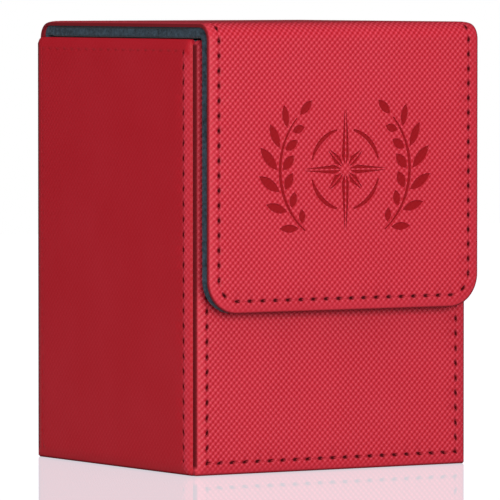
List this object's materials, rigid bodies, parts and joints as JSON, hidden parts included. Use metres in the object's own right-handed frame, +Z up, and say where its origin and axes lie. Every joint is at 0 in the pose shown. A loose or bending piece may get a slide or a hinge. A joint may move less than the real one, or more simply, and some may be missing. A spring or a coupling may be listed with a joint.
{
  "type": "card deck box",
  "caption": "Upright flip-top box for a sleeved card deck: lined tray in leather-covered panels, hinged lid and fold-down magnetic flap.",
  "frame": {"origin": "on the table, under the middle of the closed box's bounding box", "axes": "+Z up; the flap faces -Y and the hinge is at +Y; +X across the box to the right of someone facing the flap"},
  "size_m": [0.0782, 0.081, 0.107],
  "materials": {
    "grained_leather": "embossed artificial leather, satin",
    "microfibre": "short napped microfibre",
    "greyboard": "plain greyboard",
    "pad_board": "dense foam sheet",
    "thread": "polyester sewing thread",
    "magnet": "nickel plated"
  },
  "bodies": {
    "box": {"tray_floor_board": "greyboard", "tray_front_board": "greyboard", "tray_back_board": "greyboard", "tray_left_board": "greyboard", "tray_right_board": "greyboard", "tray_magnets": "magnet", "lining_floor": "microfibre", "lining_front": "microfibre", "lining_back": "microfibre", "lining_left": "microfibre", "lining_right": "microfibre", "bottom_panel_board": "greyboard", "bottom_panel_leather": "grained_leather", "front_panel_board": "greyboard", "front_panel_leather": "grained_leather", "front_panel_stitching": "thread", "back_panel_board": "greyboard", "back_panel_leather": "grained_leather", "back_panel_stitching": "thread", "left_panel_board": "greyboard", "left_panel_leather": "grained_leather", "left_panel_stitching": "thread", "right_panel_board": "greyboard", "right_panel_leather": "grained_leather", "right_panel_stitching": "thread", "tail_leather": "grained_leather", "tail_lining": "microfibre", "hinge_leather": "grained_leather", "hinge_lining": "microfibre"},
    "lid": {"lid_leather": "grained_leather", "lid_stiffener": "greyboard", "lid_pad": "pad_board", "lid_lining": "microfibre", "lid_stitching": "thread", "fold_leather": "grained_leather", "fold_lining": "microfibre"},
    "flap": {"flap_leather": "grained_leather", "flap_stiffener": "greyboard", "flap_pad": "pad_board", "flap_lining": "microfibre", "flap_stitching": "thread", "flap_magnets": "magnet"}
  },
  "joints": [
    {"name": "lid_hinge", "type": "hinge", "parent": "box", "child": "lid", "pos_m": [0, 0.03765, 0.1058], "axis": [-1, 0, 0], "range_deg": [0, 210], "deforming": ["hinge_leather", "hinge_lining"]},
    {"name": "flap_fold", "type": "hinge", "parent": "lid", "child": "flap", "pos_m": [0, -0.0393, 0.1058], "axis": [-1, 0, 0], "range_deg": [0, 90], "deforming": ["fold_leather", "fold_lining"]}
  ]
}
